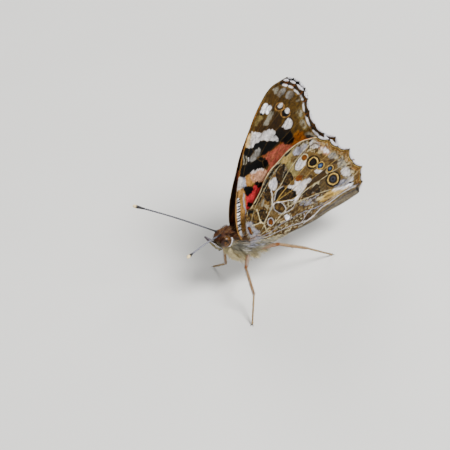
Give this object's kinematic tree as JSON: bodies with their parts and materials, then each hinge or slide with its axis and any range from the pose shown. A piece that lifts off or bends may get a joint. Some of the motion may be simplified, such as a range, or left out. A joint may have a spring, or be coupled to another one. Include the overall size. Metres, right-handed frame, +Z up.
{
  "type": "butterfly",
  "caption": "Life-size still model of a brown, rose and cream butterfly standing on its legs with its wings shut over its back and its feelers spread.",
  "frame": {"origin": "centre of the bounding box in plan, on the floor under the feet", "axes": "+Z up from the floor; the head looks along -X; the insect's left side faces -Y"},
  "size_m": [0.0416, 0.0218, 0.0397],
  "materials": {
    "dark_fur": "soft red-brown hair",
    "pale_fur": "soft cream and grey hair",
    "eye": "faceted, satin brown",
    "feeler": "dark scales ringed with white",
    "forewing": "powdery scales, rose, orange, black, white and brown",
    "hindwing": "powdery scales, marbled brown and cream with eyespots",
    "leg": "satin tan"
  },
  "bodies": {
    "root": {"thorax": "dark_fur", "head": "dark_fur", "abdomen": "pale_fur", "palp_left": "pale_fur", "palp_right": "pale_fur", "foreleg_left": "pale_fur", "foreleg_right": "pale_fur", "eye_left": "eye", "eye_right": "eye", "proboscis": "feeler", "antenna_left": "feeler", "antenna_right": "feeler", "forewing_left": "forewing", "forewing_right": "forewing", "hindwing_left": "hindwing", "hindwing_right": "hindwing", "femur_mid_left": "leg", "femur_mid_right": "leg", "femur_hind_left": "leg", "femur_hind_right": "leg", "tibia_mid_left": "leg", "tibia_mid_right": "leg", "tibia_hind_left": "leg", "tibia_hind_right": "leg", "tarsus_mid_left": "leg", "tarsus_mid_right": "leg", "tarsus_hind_left": "leg", "tarsus_hind_right": "leg"}
  },
  "joints": []
}
